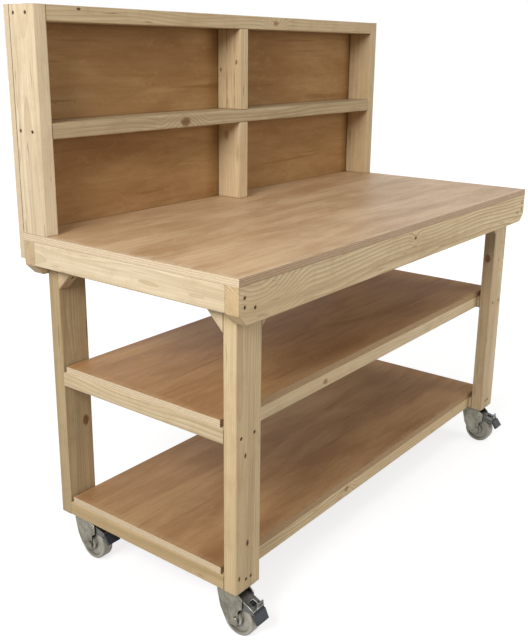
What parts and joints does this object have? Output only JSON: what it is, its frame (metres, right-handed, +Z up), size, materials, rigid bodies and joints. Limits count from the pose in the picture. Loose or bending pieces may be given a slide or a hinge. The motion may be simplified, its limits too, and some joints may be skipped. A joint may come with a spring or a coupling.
{
  "type": "mobile workbench",
  "caption": "Timber-framed workbench with a plywood top, open shelves below, a divided plywood back panel and braked swivel castors under its legs.",
  "frame": {"origin": "floor level, at the middle of the whole bench's box", "axes": "+X along the bench to its right end, +Y from the open front to the back panel, +Z up"},
  "size_m": [1.53, 0.7332, 1.455],
  "materials": {
    "softwood": "planed, unfinished",
    "plywood": "sanded, unfinished",
    "zinc_steel": "zinc plated",
    "screw_steel": "dull yellow zinc",
    "nylon": "moulded",
    "black_plastic": "moulded"
  },
  "bodies": {
    "bench": {"back_left_post": "softwood", "back_lower_divider": "softwood", "back_middle_rail": "softwood", "back_right_post": "softwood", "back_sheet": "plywood", "back_top_rail": "softwood", "back_upper_divider": "softwood", "castor_screws": "zinc_steel", "front_apron": "softwood", "front_left_apron_gusset": "softwood", "front_left_castor_plate": "zinc_steel", "front_left_leg": "softwood", "front_left_side_gusset": "softwood", "front_right_apron_gusset": "softwood", "front_right_castor_plate": "zinc_steel", "front_right_leg": "softwood", "front_right_side_gusset": "softwood", "king_pins": "zinc_steel", "left_end_rail": "softwood", "lower_shelf_board": "plywood", "lower_shelf_front_rail": "softwood", "lower_shelf_left_rail": "softwood", "lower_shelf_rear_rail": "softwood", "lower_shelf_right_rail": "softwood", "middle_shelf_board": "plywood", "middle_shelf_front_rail": "softwood", "middle_shelf_left_rail": "softwood", "middle_shelf_rear_rail": "softwood", "middle_shelf_right_rail": "softwood", "rear_apron": "softwood", "rear_left_castor_plate": "zinc_steel", "rear_left_leg": "softwood", "rear_left_side_gusset": "softwood", "rear_right_castor_plate": "zinc_steel", "rear_right_leg": "softwood", "rear_right_side_gusset": "softwood", "right_end_rail": "softwood", "swivel_balls": "zinc_steel", "timber_screws": "screw_steel", "worktop": "plywood"},
    "front_left_fork_body": {"front_left_castor_fork": "zinc_steel", "front_left_axle": "zinc_steel"},
    "front_left_wheel_body": {"front_left_wheel": "nylon"},
    "front_left_pedal_body": {"front_left_brake_pedal": "zinc_steel", "front_left_pedal_tip": "black_plastic"},
    "front_right_fork_body": {"front_right_castor_fork": "zinc_steel", "front_right_axle": "zinc_steel"},
    "front_right_wheel_body": {"front_right_wheel": "nylon"},
    "front_right_pedal_body": {"front_right_brake_pedal": "zinc_steel", "front_right_pedal_tip": "black_plastic"},
    "rear_left_fork_body": {"rear_left_castor_fork": "zinc_steel", "rear_left_axle": "zinc_steel"},
    "rear_left_wheel_body": {"rear_left_wheel": "nylon"},
    "rear_left_pedal_body": {"rear_left_brake_pedal": "zinc_steel", "rear_left_pedal_tip": "black_plastic"},
    "rear_right_fork_body": {"rear_right_castor_fork": "zinc_steel", "rear_right_axle": "zinc_steel"},
    "rear_right_wheel_body": {"rear_right_wheel": "nylon"},
    "rear_right_pedal_body": {"rear_right_brake_pedal": "zinc_steel", "rear_right_pedal_tip": "black_plastic"}
  },
  "joints": [
    {"name": "front_left_swivel", "type": "hinge", "parent": "bench", "child": "front_left_fork_body", "pos_m": [-0.6825, -0.2594, 0.12], "axis": [0, 0, 1], "continuous": true},
    {"name": "front_left_roll", "type": "hinge", "parent": "front_left_fork_body", "child": "front_left_wheel_body", "pos_m": [-0.6825, -0.2934, 0.046], "axis": [1, 0, 0], "continuous": true},
    {"name": "front_left_brake", "type": "hinge", "parent": "front_left_fork_body", "child": "front_left_pedal_body", "pos_m": [-0.6825, -0.3004, 0.099], "axis": [1, 0, 0], "range_deg": [-10, 0]},
    {"name": "front_right_swivel", "type": "hinge", "parent": "bench", "child": "front_right_fork_body", "pos_m": [0.6825, -0.2594, 0.12], "axis": [0, 0, 1], "continuous": true},
    {"name": "front_right_roll", "type": "hinge", "parent": "front_right_fork_body", "child": "front_right_wheel_body", "pos_m": [0.6825, -0.2934, 0.046], "axis": [1, 0, 0], "continuous": true},
    {"name": "front_right_brake", "type": "hinge", "parent": "front_right_fork_body", "child": "front_right_pedal_body", "pos_m": [0.6825, -0.3004, 0.099], "axis": [1, 0, 0], "range_deg": [0, 10]},
    {"name": "rear_left_swivel", "type": "hinge", "parent": "bench", "child": "rear_left_fork_body", "pos_m": [-0.6825, 0.2586, 0.12], "axis": [0, 0, 1], "continuous": true},
    {"name": "rear_left_roll", "type": "hinge", "parent": "rear_left_fork_body", "child": "rear_left_wheel_body", "pos_m": [-0.6825, 0.2246, 0.046], "axis": [1, 0, 0], "continuous": true},
    {"name": "rear_left_brake", "type": "hinge", "parent": "rear_left_fork_body", "child": "rear_left_pedal_body", "pos_m": [-0.6825, 0.2176, 0.099], "axis": [1, 0, 0], "range_deg": [0, 10]},
    {"name": "rear_right_swivel", "type": "hinge", "parent": "bench", "child": "rear_right_fork_body", "pos_m": [0.6825, 0.2586, 0.12], "axis": [0, 0, 1], "continuous": true},
    {"name": "rear_right_roll", "type": "hinge", "parent": "rear_right_fork_body", "child": "rear_right_wheel_body", "pos_m": [0.6825, 0.2246, 0.046], "axis": [1, 0, 0], "continuous": true},
    {"name": "rear_right_brake", "type": "hinge", "parent": "rear_right_fork_body", "child": "rear_right_pedal_body", "pos_m": [0.6825, 0.2176, 0.099], "axis": [1, 0, 0], "range_deg": [0, 10]}
  ]
}
